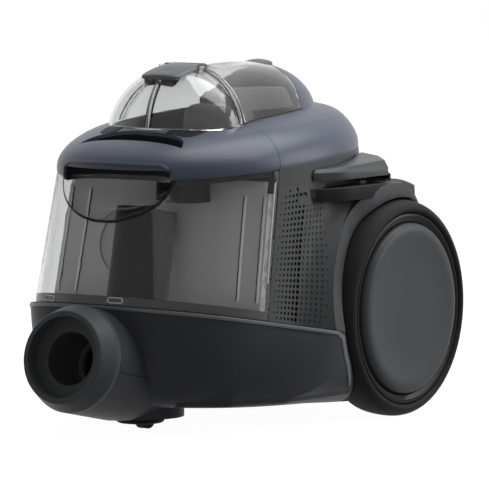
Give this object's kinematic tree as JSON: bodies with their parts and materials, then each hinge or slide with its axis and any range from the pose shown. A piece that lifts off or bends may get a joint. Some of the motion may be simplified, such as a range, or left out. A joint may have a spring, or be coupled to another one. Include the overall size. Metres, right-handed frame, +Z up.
{
  "type": "canister vacuum cleaner",
  "caption": "Compact bagless canister vacuum cleaner with a clear lift-out dust bin, clear canopy, large side wheels, foot pedals and a front hose inlet.",
  "frame": {"origin": "middle of the bounding box, on the floor", "axes": "+Z up, the hose inlet faces -Y, +X to the side seen in the picture"},
  "size_m": [0.2884, 0.428, 0.312],
  "materials": {
    "base_plastic": "satin",
    "body_plastic": "satin",
    "grey_plastic": "satin",
    "black_plastic": "matte",
    "blue_plastic": "satin",
    "clear_plastic": "polished",
    "smoke_plastic": "satin",
    "mesh_grey": "matte",
    "filter_fabric": "matte",
    "filter_grey": "matte",
    "rubber": "matte",
    "tyre": "matte",
    "steel": "satin",
    "board": "satin",
    "gloss_black": "gloss",
    "hub_grey": "satin"
  },
  "bodies": {
    "chassis": {"base_shell": "base_plastic", "nose_upper": "base_plastic", "nose_lower": "base_plastic", "inlet_collar": "grey_plastic", "inlet_sleeve": "black_plastic", "inlet_duct": "black_plastic", "bin_tray": "black_plastic", "body_shell": "body_plastic", "vent_panel_left": "body_plastic", "vent_panel_right": "body_plastic", "wheel_arch_left": "grey_plastic", "wheel_arch_right": "grey_plastic", "bulkhead": "body_plastic", "rear_cover": "blue_plastic", "tail_fin": "blue_plastic", "exhaust_grille": "body_plastic", "exhaust_frame": "black_plastic", "exhaust_filter": "filter_fabric", "cord_outlet": "rubber", "motor_housing": "black_plastic", "motor_can": "steel", "motor_cradle": "rubber", "reel_bracket": "black_plastic", "control_board": "board", "filter_seat": "black_plastic", "filter_drum": "filter_grey", "axle_left": "steel", "axle_right": "steel", "pedal_pin_left": "steel", "pedal_pin_right": "steel"},
    "bin": {"dust_bin": "clear_plastic", "bin_floor": "smoke_plastic", "riser_tube": "smoke_plastic", "mesh_screen": "mesh_grey"},
    "bin_lid": {"front_cover": "blue_plastic", "hand_recess": "black_plastic", "front_dome": "clear_plastic", "cyclone_top": "black_plastic", "lid_gasket": "rubber", "latch_pin": "steel"},
    "latch": {"latch_tab": "grey_plastic"},
    "filter_lid": {"rear_dome": "clear_plastic", "lid_tab": "grey_plastic"},
    "left_wheel": {"tyre_left": "tyre", "wheel_core_left": "black_plastic", "trim_ring_left": "gloss_black", "hub_cap_left": "hub_grey"},
    "right_wheel": {"tyre_right": "tyre", "wheel_core_right": "black_plastic", "trim_ring_right": "gloss_black", "hub_cap_right": "hub_grey"},
    "caster": {"caster_fork": "black_plastic", "caster_pin": "steel"},
    "caster_roller": {"caster_wheel": "rubber"},
    "left_pedal": {"pedal_left": "grey_plastic"},
    "right_pedal": {"pedal_right": "grey_plastic"},
    "rotor": {"motor_rotor": "steel"},
    "reel": {"cord_reel": "black_plastic"}
  },
  "joints": [
    {"name": "bin_lift", "type": "slide", "parent": "chassis", "child": "bin", "axis": [0, 0.2079, 0.9781], "range_m": [0, 0.22]},
    {"name": "lid_lift", "type": "slide", "parent": "bin", "child": "bin_lid", "axis": [0, 0.2079, 0.9781], "range_m": [0, 0.12]},
    {"name": "latch_swing", "type": "hinge", "parent": "bin_lid", "child": "latch", "pos_m": [0, -0.024, 0.3075], "axis": [-1, 0, 0], "range_deg": [0, 25]},
    {"name": "filter_lid_lift", "type": "slide", "parent": "chassis", "child": "filter_lid", "axis": [0, 0.2079, 0.9781], "range_m": [0, 0.08]},
    {"name": "left_wheel_spin", "type": "hinge", "parent": "chassis", "child": "left_wheel", "pos_m": [0, 0.119, 0.095], "axis": [1, 0, 0], "continuous": true},
    {"name": "right_wheel_spin", "type": "hinge", "parent": "chassis", "child": "right_wheel", "pos_m": [0, 0.119, 0.095], "axis": [1, 0, 0], "continuous": true},
    {"name": "caster_swivel", "type": "hinge", "parent": "chassis", "child": "caster", "pos_m": [0, -0.091, 0.012], "axis": [0, 0, 1], "continuous": true},
    {"name": "caster_roll", "type": "hinge", "parent": "caster", "child": "caster_roller", "pos_m": [0, -0.084, 0.009], "axis": [1, 0, 0], "continuous": true},
    {"name": "left_pedal_press", "type": "hinge", "parent": "chassis", "child": "left_pedal", "pos_m": [-0.11, 0.03, 0.2175], "axis": [-1, 0, 0], "range_deg": [0, 2.8], "stiffness_Nm_per_rad": 0.5, "springref_deg": -17.19},
    {"name": "right_pedal_press", "type": "hinge", "parent": "chassis", "child": "right_pedal", "pos_m": [0.11, 0.03, 0.2175], "axis": [-1, 0, 0], "range_deg": [0, 2.8], "stiffness_Nm_per_rad": 0.5, "springref_deg": -17.19},
    {"name": "rotor_spin", "type": "hinge", "parent": "chassis", "child": "rotor", "pos_m": [0, 0.06, 0.08], "axis": [0, 1, 0], "continuous": true},
    {"name": "reel_spin", "type": "hinge", "parent": "chassis", "child": "reel", "pos_m": [0, 0.092, 0.19], "axis": [0, 0, 1], "continuous": true}
  ]
}
